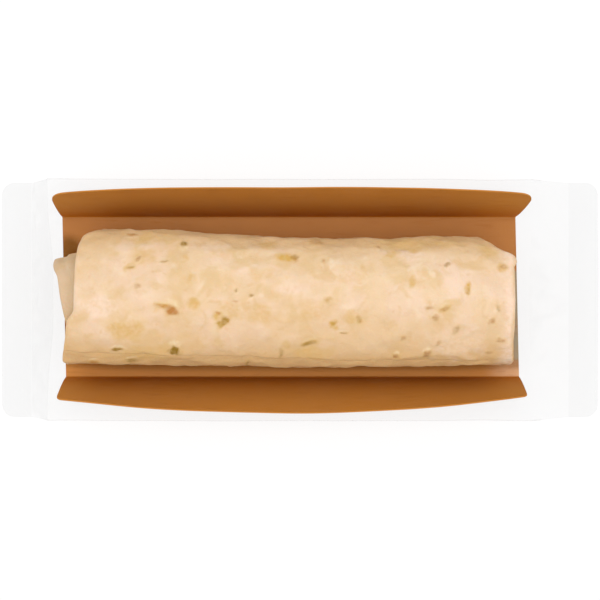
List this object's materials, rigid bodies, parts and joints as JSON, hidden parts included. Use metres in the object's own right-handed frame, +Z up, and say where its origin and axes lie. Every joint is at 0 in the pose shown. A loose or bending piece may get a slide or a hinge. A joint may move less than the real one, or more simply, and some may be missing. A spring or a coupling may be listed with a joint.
{
  "type": "grilled chicken wrap in a clear film pack",
  "caption": "Rolled tortilla wrap lying in an open-ended kraft card tray, sealed in a clear flow-wrapped film pack with flat crimped ends.",
  "frame": {"origin": "middle of the pack's footprint, on the surface that it lies on", "axes": "+X along the roll, towards the end with the shorter gap between wrap and tray; +Y across the pack; +Z up through the crown of the wrap"},
  "size_m": [0.238, 0.094, 0.051],
  "materials": {
    "clear_film": "thin clear glossy packing film, softly wrinkled, crimped at both ends",
    "kraft_card": "unbleached brown kraft card, matt, with fine fibres and creased fold lines",
    "tortilla": "soft pale wheat tortilla, matt with a faint sheen, with small tan griddle marks"
  },
  "bodies": {
    "root": {"film_pack": "clear_film", "tortilla_roll": "tortilla"}
  },
  "joints": []
}
